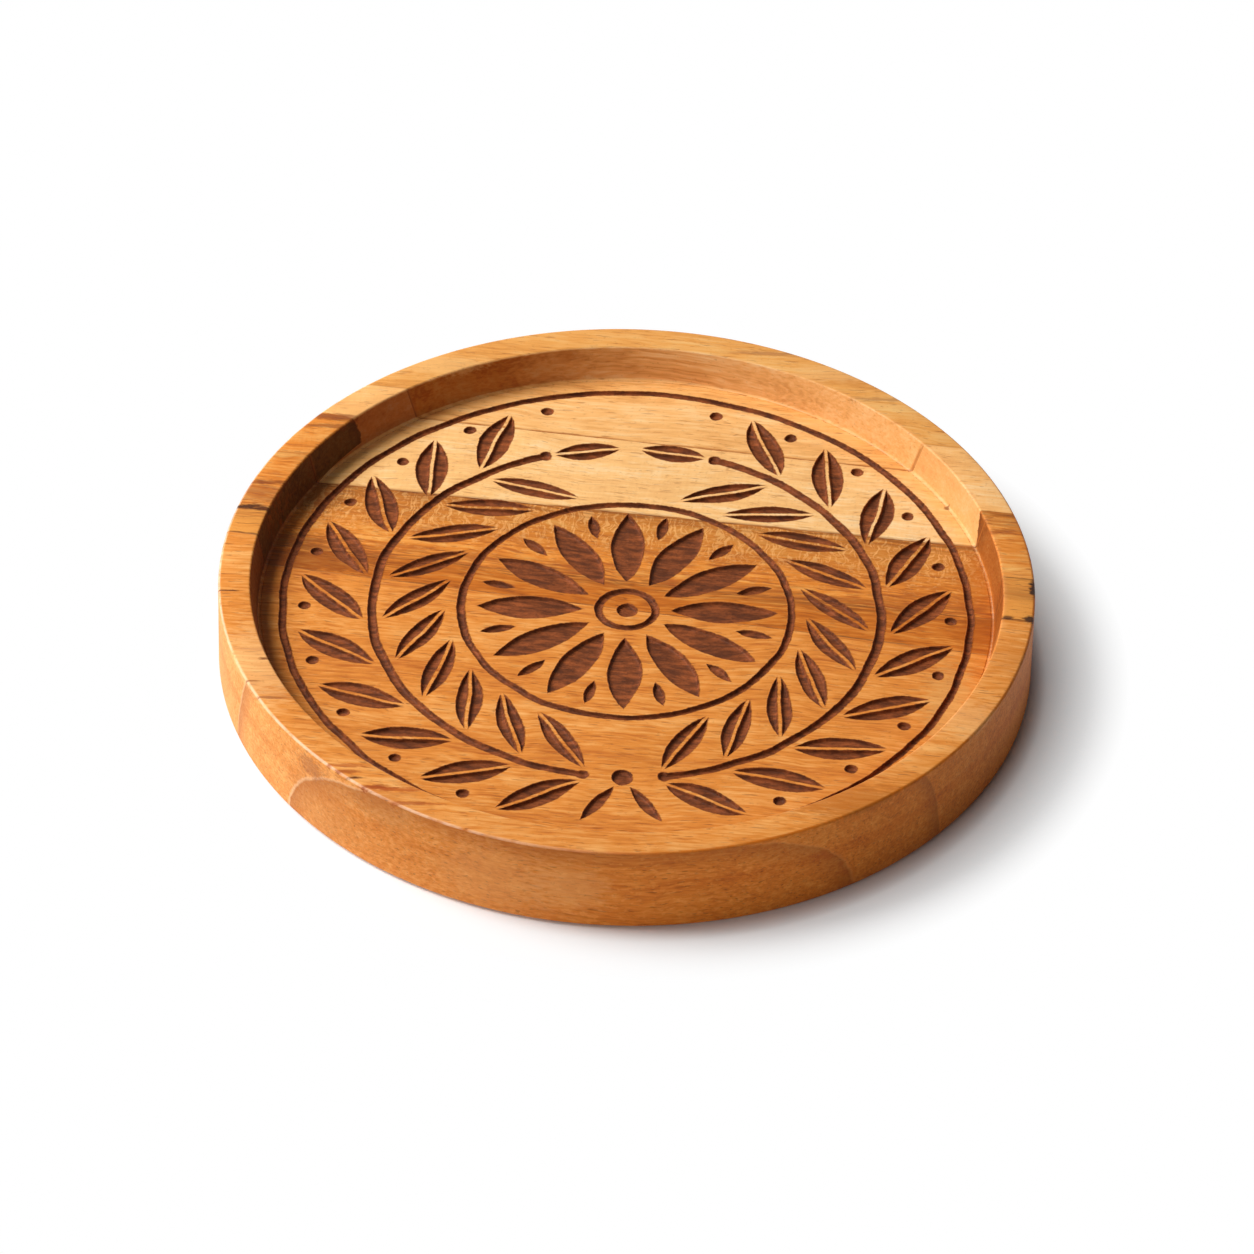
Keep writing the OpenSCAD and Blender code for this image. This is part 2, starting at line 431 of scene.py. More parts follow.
def along_grain(tree, place, slant):
    """Places turned to the grain, which wanders up, down and sideways in long bends and in short waves."""
    grain = add(tree, "Mapping", {"Vector": place, "Rotation": (0, 0, -slant)})
    for length, reach in GRAIN_BENDS:
        sway = add(tree, "TexNoise", {"Vector": grain, "Scale": 1 / length, "Detail": 1}, out="Color")
        sway = add(tree, "VectorMath", {0: sway, 1: (0.5, 0.5, 0.5)}, operation="SUBTRACT")
        grain = add(tree, "VectorMath", {0: sway, 1: (0, reach, reach), 2: grain}, operation="MULTIPLY_ADD")
    return grain


def figure(tree, grain, kind, seed):
    """The noise of one kind of figure, from 0 to 1."""
    scaled = add(tree, "Mapping", {"Vector": grain, "Scale": (1 / kind.along, 1 / kind.across, 1 / kind.across),
                                   "Location": (seed, 1.7 * seed, 0.6 * seed)})
    return add(tree, "TexNoise", {"Vector": scaled, "Scale": 1, "Detail": kind.detail, "Roughness": 0.6})


def summed(tree, grain, weights, seed):
    """The sum of some kinds of figure, each with its weight. Its mean is 0."""
    total = -sum(weights.values()) / 2
    for i, (kind, weight) in enumerate(weights.items()):
        total = add(tree, "Math", {0: figure(tree, grain, kind, seed + 7 * i), 1: weight, 2: total},
                    operation="MULTIPLY_ADD")
    return total


def crests(tree, grain, kind, seed, low, high, share):
    """Only the crests of a figure: nothing below low, and the full share above high."""
    return add(tree, "MapRange", {"Value": figure(tree, grain, kind, seed), "From Min": low, "From Max": high,
                                  "To Max": share})


def behind_joint(tree, place, k):
    """How far each point lies behind glue joint k."""
    y, slant = JOINTS[k]
    turned_place = add(tree, "Mapping", {"Vector": place, "Rotation": (0, 0, -radians(slant)),
                                         "Location": (0, -y * cos(radians(slant)), 0)})
    return add(tree, "SeparateXYZ", {0: turned_place}, out="Y")


def stained(tree, colour, *stains):
    """Lays stains over a colour one after another. A stain is its share and its shade."""
    for share, shade in stains:
        colour = add(tree, "Mix", {FAC: share, FROM: colour, TO: linear(shade)}, data_type="RGBA")
    return colour


# Parts of a face that look different on one side, most of them for painted light or shade: the part, its face,
# and the X where it starts and where it is full
SIDE_PARTS = (
    ("shaded_front_edge", "edge", -34, 0),
    ("lit_end_edge", "edge", -22, -46),
    ("left_wall", "wall", 2, -17),
    ("right_wall", "wall", 6, 26),
    ("worn_highlit_corner", "corner", 6, -30),
    ("highlit_right_corner", "corner", -12, 12),
    ("dusty_highlit_right_foot", "foot", 2, 15),
    ("highlit_right_lip", "lip", 14, 34),
)


def turned_faces(tree, place, xyz):
    """1 on each face of the turning, by its name, and on the parts of faces on one side.

    The faces are the outer edge, its upper corner, the rim, its lip, the recess wall, its foot, the floor, the
    floor's border, and the underside.
    """
    x, _, z = xyz
    flat = add(tree, "VectorMath", {0: place, 1: (1, 1, 0)}, operation="MULTIPLY")
    r = add(tree, "VectorMath", {0: flat}, out="Value", operation="LENGTH")
    edge = add(tree, "MapRange", {"Value": r, "From Min": OUT_R - 0.2, "From Max": OUT_R - 0.05})
    rim = add(tree, "MapRange", {"Value": z, "From Min": COASTER_H - 0.1, "From Max": COASTER_H - 0.03})
    corner = add(tree, "MapRange", {"Value": r, "From Min": OUT_R - 0.32, "From Max": OUT_R - 0.2})
    top = add(tree, "MapRange", {"Value": z, "From Min": COASTER_H - 0.32, "From Max": COASTER_H - 0.2})
    above = add(tree, "MapRange", {"Value": z, "From Min": FLOOR_Z + 0.05, "From Max": FLOOR_Z + 0.25})
    floor = add(tree, "MapRange", {"Value": z, "From Min": FLOOR_Z + 0.15, "From Max": FLOOR_Z + 0.05})
    underside = add(tree, "MapRange", {"Value": z, "From Min": FLOOR_Z - 1, "From Max": FLOOR_Z - 2})
    floor = add(tree, "Math", {0: floor, 1: underside}, operation="SUBTRACT")
    outside = add(tree, "MapRange", {"Value": r, "From Min": FOOT_C[0] - 0.02, "From Max": FOOT_C[0] + 0.04})
    outside = add(tree, "Math", {0: outside, 1: underside}, operation="SUBTRACT", use_clamp=True)
    beside = add(tree, "MapRange", {"Value": r, "From Min": COVE_C[0] - 4, "From Max": COVE_C[0] - 0.5})
    short = add(tree, "MapRange", {"Value": r, "From Min": FOOT_C[0] + 0.2, "From Max": FOOT_C[0] + 0.12})
    high = add(tree, "MapRange", {"Value": z, "From Min": COASTER_H - 0.4, "From Max": COASTER_H - 0.2})
    below = add(tree, "MapRange", {"Value": z, "From Min": COASTER_H - 0.1, "From Max": COASTER_H - 0.3})
    within = add(tree, "MapRange", {"Value": r, "From Min": LIP_C[0] + 0.3, "From Max": LIP_C[0] + 0.1})
    wall = add(tree, "Math", {0: above, 1: below}, operation="MULTIPLY")
    wall = add(tree, "Math", {0: wall, 1: within}, operation="MULTIPLY")
    shares = {"edge": edge, "rim": rim, "wall": wall, "floor": floor, "underside": underside}
    for part, one, other in (("corner", corner, top), ("lip", within, high), ("foot", outside, short),
                             ("border", floor, beside)):
        shares[part] = add(tree, "Math", {0: one, 1: other}, operation="MULTIPLY")
    for part, face, start, end in SIDE_PARTS:
        sideways = add(tree, "MapRange", {"Value": x, "From Min": start, "From Max": end})
        shares[part] = add(tree, "Math", {0: shares[face], 1: sideways}, operation="MULTIPLY")
    return shares


# Painted shade that every wood's colour is multiplied by: on the outer edge from the front round to the right, away
# from the lamp, and on the floor beside the recess wall
PAINTED_SHADE_TINTS = (("shaded_front_edge", "ffe8bc"), ("border", "f8eedc"))


def wood_colour(tree, tone, shades, faces, pores, glints):
    """The wood's colour from a tone of about 0.2 to 0.8, multiplied on the rim, and darker on the outer edge's
    right, the wall and the floor beside it, mostly as painted shade.
    """
    tone = add(tree, "Math", {0: faces["rim"], 1: shades.rubbed, 2: tone}, operation="MULTIPLY_ADD")
    lower = add(tree, "MapRange", {"Value": tone, "From Min": 0.2, "From Max": 0.5})
    upper = add(tree, "MapRange", {"Value": tone, "From Min": 0.5, "From Max": 0.8})
    colour = stained(tree, linear(shades.dark), (lower, shades.middle), (upper, shades.light),
                     (pores, shades.pores), (glints, shades.light))
    # Multiplied on the rim, and darker by painted shade on the edge's right, the floor beside the wall and the wall's
    # left part; the wall's own multiplier is partly painted shade
    for face, tint in (*PAINTED_SHADE_TINTS, ("rim", shades.rim), ("wall", shades.wall), ("left_wall", shades.left_wall)):
        colour = add(tree, "Mix", {FAC: faces[face], FROM: colour, TO: linear(tint)}, data_type="RGBA",
                     blend_type="MULTIPLY")
    return colour


# Where the next wood's colour leans into a stave above the floor, as the heartwood does on the wall and the rim:
# the joint, how far behind it this reaches at the rim's left and right end, how steeply it rises at the left, the
# next wood's shades, and the line along its edge: its width, its share and its shade
Lean = namedtuple("Lean", "joint left right steep shades line_w line_share line_shade")
# X of the rim's left and right end, X where the steep part at the left starts and where it is full, and how far the
# ragged edge strays
RIM_ENDS = (-38, 46)
STEEP_PART = (-20, -34)
LEAN_RAGGED = 1.6


def leaning(tree, place, xyz, grain, faces, lean):
    """The part of a stave that the next wood's colour takes, and the dark line along its edge.

    It is full on the outer edge and the underside too.
    """
    x, _, z = xyz
    full = add(tree, "MapRange", {"Value": x, "From Min": RIM_ENDS[0], "From Max": RIM_ENDS[1], "To Min": lean.left,
                                  "To Max": lean.right}, clamp=False)
    rise = add(tree, "MapRange", {"Value": x, "From Min": STEEP_PART[0], "From Max": STEEP_PART[1],
                                  "To Min": lean.right / RECESS_H, "To Max": lean.steep})
    height = add(tree, "Math", {0: z, 1: FLOOR_Z}, operation="SUBTRACT")
    outside = add(tree, "Math", {0: faces["edge"], 1: faces["underside"]}, operation="MAXIMUM")
    height = add(tree, "Math", {0: outside, 1: 5 * COASTER_H, 2: height}, operation="MULTIPLY_ADD")
    reach = add(tree, "Math", {0: height, 1: rise}, operation="MULTIPLY")
    reach = add(tree, "Math", {0: reach, 1: full}, operation="MINIMUM")
    depth = add(tree, "Math", {0: reach, 1: behind_joint(tree, place, lean.joint)}, operation="SUBTRACT")
    ragged = figure(tree, grain, LEAN_RAGS, 3)
    depth = add(tree, "Math", {0: ragged, 1: LEAN_RAGGED, 2: depth}, operation="MULTIPLY_ADD")
    depth = add(tree, "Math", {0: depth, 1: LEAN_RAGGED / 2}, operation="SUBTRACT")
    inside = add(tree, "MapRange", {"Value": depth, "From Min": -0.12, "From Max": 0.12})
    line = add(tree, "MapRange", {"Value": depth, "From Min": lean.line_w, "From Max": 0, "To Max": lean.line_share})
    line = add(tree, "Math", {0: inside, 1: line}, operation="MULTIPLY")
    broken = add(tree, "MapRange", {"Value": figure(tree, grain, LINE_GAPS, 23), "From Min": 0.36,
                                    "From Max": 0.56, "To Min": 0.35})
    return inside, add(tree, "Math", {0: line, 1: broken}, operation="MULTIPLY")


# Growth rings of the front stave, as its turned edge shows them: the pith lies low in front, the rings are lower than
# they are wide, and all is in a frame turned by the slant. Each ring has a radius and the share of its pale line.
RING_SLANT = radians(9.6)
RING_PITH = (-47.5, -1)
RING_FLATNESS = 0.85
RINGS = ((11.3, 0.7), (22.5, 0.3))
# Bends of the rings: over what length, and how far they stray
RING_BENDS = ((9, 1.2), (0.8, 0.35))


def ring_depth(tree, place):
    """Distance from the pith, a little uneven."""
    turned_place = add(tree, "Mapping", {"Vector": place, "Rotation": (0, 0, RING_SLANT),
                                         "Location": (0, -RING_PITH[0], -RING_PITH[1])})
    section = add(tree, "VectorMath", {0: turned_place, 1: (0, 1, RING_FLATNESS)}, operation="MULTIPLY")
    r = add(tree, "VectorMath", {0: section}, out="Value", operation="LENGTH")
    for length, reach in RING_BENDS:
        uneven = add(tree, "TexNoise", {"Vector": place, "Scale": 1 / length, "Detail": 1})
        uneven = add(tree, "Math", {0: uneven, 1: 0.5}, operation="SUBTRACT")
        r = add(tree, "Math", {0: uneven, 1: reach, 2: r}, operation="MULTIPLY_ADD")
    return r


def ring(tree, r, radius, share):
    """A growth ring: late wood that darkens outwards up to it, then a thin pale line."""
    off = add(tree, "Math", {0: r, 1: radius}, operation="SUBTRACT")
    late = add(tree, "MapRange", {"Value": off, "From Min": -2.6, "From Max": 0, "To Max": 0.55})
    past = add(tree, "MapRange", {"Value": off, "From Min": 0.1, "From Max": -0.1})
    late = add(tree, "Math", {0: late, 1: past}, operation="MULTIPLY")
    off = add(tree, "Math", {0: off}, operation="ABSOLUTE")
    return late, add(tree, "MapRange", {"Value": off, "From Min": 0.22, "From Max": 0.05, "To Max": share})


# A pin knot, bark speck or stain, or a patch of painted shade or light where a comment says so: its middle, its
# half sizes, how strongly it shows, and its shade
Mark = namedtuple("Mark", "middle size share shade")


def marked(tree, place, grain, colour, mark):
    """A small patch of colour with an edge that is ragged along the grain."""
    scale = [1 / side for side in mark.size]
    shift = [-m * s for m, s in zip(mark.middle, scale)]
    near = add(tree, "Mapping", {"Vector": place, "Scale": scale, "Location": shift})
    far = add(tree, "VectorMath", {0: near}, out="Value", operation="LENGTH")
    ragged = figure(tree, grain, RAGS, 3)
    far = add(tree, "Math", {0: ragged, 1: 2, 2: far}, operation="MULTIPLY_ADD")
    near = add(tree, "MapRange", {"Value": far, "From Min": 2.05, "From Max": 1.5, "To Max": mark.share})
    return stained(tree, colour, (near, mark.shade))


# Wood burned by a hot tool: the bottom of a cut, its lighter patches, the specks of soot, and the scorch at its edge
CHAR = "5a2c13"
CHAR_PATCHES = "9c5229"
SOOT_SPECKS = "42200f"
SCORCH = "a65a20"


def char(tree, colour, grain):
    """Burns the wood inside the cuts: brown, darker in patches and along the grain, with a scorched edge."""
    burnt = add(tree, "Attribute", out="Fac", attribute_name=BURN)
    soot = figure(tree, grain, SOOT, 61)
    grit = figure(tree, grain, GRIT, 63)
    ragged = add(tree, "Math", {0: grit, 1: 0.5}, operation="SUBTRACT")
    ragged = add(tree, "Math", {0: ragged, 1: 0.9, 2: burnt}, operation="MULTIPLY_ADD")
    scorched = add(tree, "MapRange", {"Value": ragged, "From Min": 0.1, "From Max": 0.6, "To Max": 0.85})
    inside = add(tree, "MapRange", {"Value": ragged, "From Min": 0.45, "From Max": 0.75})
    patches = add(tree, "MapRange", {"Value": soot, "From Min": 0.38, "From Max": 0.68})
    specks = add(tree, "MapRange", {"Value": grit, "From Min": 0.5, "From Max": 0.7, "To Max": 0.4})
    charred = stained(tree, linear(CHAR), (patches, CHAR_PATCHES), (specks, SOOT_SPECKS))
    colour = stained(tree, colour, (scorched, SCORCH))
    colour = add(tree, "Mix", {FAC: inside, FROM: colour, TO: charred}, data_type="RGBA")
    relief = add(tree, "Math", {0: soot, 1: grit}, operation="ADD")
    return colour, burnt, add(tree, "Math", {0: relief, 1: burnt}, operation="MULTIPLY")


# Roughness of sound and of burned wood, how little thin oil mirrors, and the relief: its strength, and its depth on
# wood and on glue
SOUND_ROUGHNESS = 0.5
BURNT_ROUGHNESS = 0.62
OIL_SPECULAR = 0.15
RELIEF_STRENGTH = 0.7
WOOD_RELIEF = 0.07
GLUE_RELIEF = 0.05


def satin(tree, colour, burnt, relief, depth):
    """Wood rubbed with a little oil: a low satin on sound wood, duller where it is burned."""
    rough = add(tree, "MapRange", {"Value": burnt, "To Min": SOUND_ROUGHNESS, "To Max": BURNT_ROUGHNESS})
    bump = add(tree, "Bump", {"Height": relief, "Strength": RELIEF_STRENGTH, "Distance": depth * MM})
    shader = add(tree, "BsdfPrincipled", {"Base Color": colour, "Roughness": rough, "Normal": bump,
                                          "Specular IOR Level": OIL_SPECULAR})
    add(tree, "OutputMaterial", {"Surface": shader})


# Lines along the edges, painted highlight, partly wear on the upper corner and partly dust at the wall's foot: the
# part, the share and the shade
WEAR_AND_HIGHLIGHT_PARTS = (("worn_highlit_corner", 0.6, "ffdcbc"), ("highlit_right_corner", 0.9, "ee8022"), ("highlit_right_lip", 0.25, "f0a060"),
              ("dusty_highlit_right_foot", 0.35, "ecc8a4"))


def teak(name, slant, shades, seed, weights, bands=(), lean=None, rings=(), marks=()):
    """Oiled teak, planed, glued up and turned: straight streaks, fine fibres and short dark pores.

    weights are by kind of figure, and the broad kinds are calmer on the outer edge and at the wall's right end. bands
    show only beside a glue joint: the joint, how far behind it they are full and where they end, look and shade.
    """
    material, tree = new_tree(name)
    place, xyz = in_mm(tree)
    grain = along_grain(tree, place, radians(slant))
    faces = turned_faces(tree, place, xyz)
    calm = add(tree, "MapRange", {"Value": faces["edge"], "To Min": 1, "To Max": 0.4})
    calm = add(tree, "Math", {0: faces["wall"], 1: 0.9, 2: calm}, operation="MULTIPLY_ADD")
    calm = add(tree, "Math", {0: faces["right_wall"], 1: -1.4, 2: calm}, operation="MULTIPLY_ADD")
    broad = summed(tree, grain, {kind: weights[kind] for kind in weights if kind in BROAD}, seed)
    fine = summed(tree, grain, {kind: weights[kind] for kind in weights if kind not in BROAD}, seed + 30)
    tone = add(tree, "Math", {0: broad, 1: calm, 2: fine}, operation="MULTIPLY_ADD")
    # Paler at the end of the outer edge that faces the lamp, partly as painted light
    paler = add(tree, "MapRange", {"Value": faces["lit_end_edge"], "To Min": 0.5, "To Max": 0.61})
    tone = add(tree, "Math", {0: tone, 1: paler}, operation="ADD")
    pores = crests(tree, grain, PORES, seed + 91, 0.7, 0.8, 0.45)
    shown = add(tree, "MapRange", {"Value": faces["wall"], "To Min": 1, "To Max": 0.15})
    pores = add(tree, "Math", {0: pores, 1: shown}, operation="MULTIPLY")
    glints = crests(tree, grain, GLINTS, seed + 97, 0.6, 0.76, 0.35)
    scuffed = add(tree, "Math", {0: faces["lit_end_edge"], 1: -0.65, 2: faces["edge"]}, operation="MULTIPLY_ADD")
    scuffs = add(tree, "Math", {0: scuffed, 1: crests(tree, grain, SCUFFS, seed, 0.54, 0.68, 0.5)},
                 operation="MULTIPLY")
    glints = add(tree, "Math", {0: glints, 1: scuffs}, operation="MAXIMUM")
    colour = wood_colour(tree, tone, shades, faces, pores, glints)
    if lean:
        inside, line = leaning(tree, place, xyz, grain, faces, lean)
        leant = wood_colour(tree, tone, lean.shades, faces, pores, glints)
        colour = add(tree, "Mix", {FAC: inside, FROM: colour, TO: leant}, data_type="RGBA")
        colour = stained(tree, colour, (line, lean.line_shade))
    rubbed = add(tree, "MapRange", {"Value": faces["rim"], "To Min": 1, "To Max": 0.55})
    for joint, full, end, look, shade in bands:
        beside = add(tree, "MapRange", {"Value": behind_joint(tree, place, joint), "From Min": end, "From Max": full})
        shown = add(tree, "Math", {0: look(tree, grain), 1: beside}, operation="MULTIPLY")
        where = faces["floor"] if look in FLOOR_ONLY else rubbed
        shown = add(tree, "Math", {0: shown, 1: where}, operation="MULTIPLY")
        colour = stained(tree, colour, (shown, shade))
    if rings:
        r = ring_depth(tree, place)
        shown = add(tree, "MapRange", {"Value": faces["edge"], "To Min": 0.15, "To Max": 1})
        for radius, share in rings:
            late, line = (add(tree, "Math", {0: part, 1: shown}, operation="MULTIPLY")
                          for part in ring(tree, r, radius, share))
            # The pale line is brighter at the end that faces the lamp: painted light
            lit_line = add(tree, "Math", {0: faces["lit_end_edge"], 1: line}, operation="MULTIPLY")
            line = add(tree, "Math", {0: line, 1: 0.4}, operation="MULTIPLY")
            colour = stained(tree, colour, (late, LATE_WOOD), (line, EARLY_WOOD), (lit_line, LIT_EARLY_WOOD))
    # Painted highlights along the edges, partly wear on the upper corner and partly dust at the wall's foot
    for part, share, shade in WEAR_AND_HIGHLIGHT_PARTS:
        wear_and_highlight = add(tree, "Math", {0: faces[part], 1: crests(tree, grain, WEAR, seed, 0.3, 0.55, share)},
                   operation="MULTIPLY")
        colour = stained(tree, colour, (wear_and_highlight, shade))
    for mark in marks:
        colour = marked(tree, place, grain, colour, mark)
    colour, burnt, burnt_relief = char(tree, colour, grain)
    relief = add(tree, "Math", {0: pores, 1: -2, 2: tone}, operation="MULTIPLY_ADD")
    relief = add(tree, "Math", {0: relief, 1: burnt_relief}, operation="ADD")
    satin(tree, colour, burnt, relief, WOOD_RELIEF)
    return material


def glue_material(name, shade, rim_shade, left_shade):
    """Wood glue squeezed thin and darkened by sanding dust: a fine line between the staves, faint on the rim."""
    material, tree = new_tree(name)
    place, xyz = in_mm(tree)
    grain = along_grain(tree, place, 0)
    faces = turned_faces(tree, place, xyz)
    dusty = crests(tree, grain, GLUE_DUST, 71, 0.4, 0.62, 0.75)
    above = add(tree, "MapRange", {"Value": xyz["Z"], "From Min": FLOOR_Z + 0.2, "From Max": FLOOR_Z + 1})
    colour = stained(tree, linear(shade), (dusty, rim_shade), (above, rim_shade))
    # Darker on the wall, partly as painted shade, and on the wall's left part as painted shade
    for face, tint in (("wall", "e4d4c8"), ("left_wall", left_shade)):
        colour = add(tree, "Mix", {FAC: faces[face], FROM: colour, TO: linear(tint)}, data_type="RGBA",
                     blend_type="MULTIPLY")
    colour, burnt, relief = char(tree, colour, grain)
    satin(tree, colour, burnt, relief, GLUE_RELIEF)
    return material


def seen_directly(tree):
    """1 for what the camera sees, straight or in a reflection or through glass."""
    path = add(tree, "LightPath").node.outputs
    seen = add(tree, "Math", {0: path["Is Camera Ray"], 1: path["Is Glossy Ray"]}, operation="MAXIMUM")
    return add(tree, "Math", {0: seen, 1: path["Is Transmission Ray"]}, operation="MAXIMUM")


# The paper seen directly is lifted to plain white away from the coaster and its shadow: from an inner to an outer
# distance from a point a little to the right of its middle, and less right beside its foot in front
LIFTS = (((4.7, -1.7, 0), 44.5, 57.5), ((1.5, -2, 0), 47.7, 50.4))


def paper_material():
    """White seamless paper, which takes the coaster's shadow."""
    material, tree = new_tree("seamless_paper")
    plain = add(tree, "BsdfDiffuse", {"Color": linear("fafafa")})
    white = add(tree, "Emission", {"Color": (1, 1, 1, 1), "Strength": 1})
    place, _ = in_mm(tree)
    share = seen_directly(tree)
    for middle, start, end in LIFTS:
        away = add(tree, "VectorMath", {0: place, 1: middle}, out="Value", operation="DISTANCE")
        lift = add(tree, "MapRange", {"Value": away, "From Min": start, "From Max": end})
        share = add(tree, "Math", {0: share, 1: lift}, operation="MULTIPLY")
    both = add(tree, "MixShader", {0: share, 1: plain, 2: white})
    add(tree, "OutputMaterial", {"Surface": both})
    return material


# Teak's pale sapwood, and its heartwood from brown to golden, all warmed by the oil
# Each wood's multiplier on the recess wall is partly painted shade, and the one on the wall's left part is painted
# shade
SAPWOOD = Shades("d89450", "f6b870", "ffd498", "9a4e20", "f3e2c2", "fdf5f0", "c8a678", 0)
PLAIN_SAPWOOD = Shades("e4a462", "fac27c", "ffdeac", "a86030", "fff5e9", "f9e6da", "ccb4a0", 0)
BROWN = Shades("ae561e", "e88c34", "fabb66", "7a3614", "f8f8ff", "b6a8a8", "a8bcd8", 0.06)
DARK = Shades("944614", "c86e20", "e89a46", "642c0e", "ffffff", "c4bcc4", "a8bce4", 0.34)
GOLDEN = Shades("b86022", "e28c3a", "f8b468", "7c3a14", "ffffff", "c4bcc4", "ccc4cc", 0.05)
# Growth rings on the edge: late wood, the early wood after it, and that again paler as painted light at the end
# that faces the lamp
LATE_WOOD = "a04e18"
EARLY_WOOD = "f09c50"
LIT_EARLY_WOOD = "ffd8a8"
# Kinds of figure that run broad, and how strongly each kind shows in streaked, in plain and in fine wood
BROAD = (BANDS, STREAKS, LINES)
STRONG = {BANDS: 0.4, STREAKS: 0.45, LINES: 0.4, FIBRES: 0.36, FLAMES: 0.3, MOTTLE: 0.26}
SOFT = {BANDS: 0.35, STREAKS: 0.36, LINES: 0.24, FIBRES: 0.28, FLAMES: 0.22, MOTTLE: 0.3, CHATTER: 0.12}
FINE = {BANDS: 0.3, STREAKS: 0.3, LINES: 0.34, FIBRES: 0.42, FLAMES: 0.36, MOTTLE: 0.26}


def seams(tree, grain):
    """Thin dark lines along the grain, close to a joint."""
    return crests(tree, grain, SEAMS, 13, 0.38, 0.6, 0.75)


def curl(tree, grain):
    """Fine light lines across the grain, bent this way and that, where the wood grew wavy."""
    sway = add(tree, "TexNoise", {"Vector": grain, "Scale": 1 / 1.8, "Detail": 1}, out="Color")
    waved = add(tree, "VectorMath", {0: sway, 1: (2, 1, 0), 2: grain}, operation="MULTIPLY_ADD")
    return crests(tree, waved, CURL, 31, 0.52, 0.62, 0.5)


def worms(tree, grain):
    """Short light flecks between the curl and the plain wood."""
    return crests(tree, grain, WORMS, 37, 0.56, 0.68, 0.4)


def shade_over(tree, grain):
    """A broad deeper tone under the curl."""
    return crests(tree, grain, DEEPER, 43, 0, 0.4, 0.5)


def stains(tree, grain):
    """Dark streaks with ragged ends."""
    return crests(tree, grain, STAINS, 47, 0.5, 0.66, 0.7)


def glue_edge(tree, grain):
    """Wood that glue has darkened right beside the joint, in stretches."""
    return crests(tree, grain, GLUE_STAINS, 19, 0.3, 0.5, 0.8)


# Looks that show on the floor alone
FLOOR_ONLY = (curl, worms, shade_over)

LEAN_PALE = Lean(1, 8.3, 1.9, 12, BROWN, 1.6, 0.8, "54240e")
LEAN_BROWN = Lean(2, 1.4, 3, 0.4, DARK, 0.55, 0.9, "40200c")
LEAN_DARK = Lean(3, 0.6, 2.1, 0.2, GOLDEN, 0.6, 0.95, "3a1c0a")
BACK_MARKS = (Mark((-24, 41.5, 12), (9, 2.4, 1), 0.4, "fcca84"),
              Mark((25, 41.6, 12), (7, 2, 1), 0.4, "f8be7a"),
              Mark((17, 45.5, 12), (6, 0.5, 1), 0.6, "a8683a"),
              Mark((30.5, 36.8, 12), (5, 0.5, 1), 0.6, "b07440"))
PALE_MARKS = (Mark((39.6, 21.2, 7.5), (0.42, 0.4, 1), 0.85, "8a5628"),
              Mark((-37, 30.6, 12), (5, 0.7, 1), 0.7, "8a4420"),
              Mark((-37, 28.8, 12), (5, 0.5, 1), 0.6, "7c3a1a"))
BROWN_MARKS = (Mark((49.8, 0.6, 11.9), (0.6, 1.9, 1.6), 0.97, "280f06"),
               Mark((48, 14.1, 12), (1.5, 0.45, 1), 0.85, "44200e"),
               Mark((-47.2, 12.6, 12), (3.2, 0.55, 1), 0.95, "3e1c0c"),
               Mark((-45, 12.2, 12), (1.7, 0.45, 1), 0.9, "54280f"),
               Mark((-45.6, 15.4, 12), (4.2, 2.6, 1), 0.5, "924a20"),
               Mark((-44.5, 17.4, 12), (3.4, 0.5, 1), 0.7, "7c3614"),
               Mark((-42.6, 24.4, 12), (2.6, 0.5, 1), 0.7, "8c4018"),
               Mark((46.2, 11.4, 12), (3, 0.6, 1), 0.6, "94461c"),
               Mark((-42, 11.6, 7.5), (6, 2, 1), 0.5, "7c3e14"),
               # Painted shadow of the left wall on the floor
               Mark((-39.5, 20.5, 7.5), (6, 3.4, 1), 0.5, "6a3414"),
               # Painted shade on the floor beside the right wall
               Mark((43.4, 7, 7.5), (4.4, 6, 1), 0.5, "b4621c"))
DARK_MARKS = (Mark((-38.5, 7.6, 7.5), (11, 2.6, 1), 0.55, "7c3a10"),
              # Painted shade on the floor beside the right wall
              Mark((43.4, -2.4, 7.5), (4, 4, 1), 0.5, "a85412"),
              Mark((49.3, -5.3, 12), (0.9, 0.9, 1), 0.95, "2c1408"),
              Mark((46.5, -5, 12), (0.8, 0.45, 1), 0.85, "44200e"))
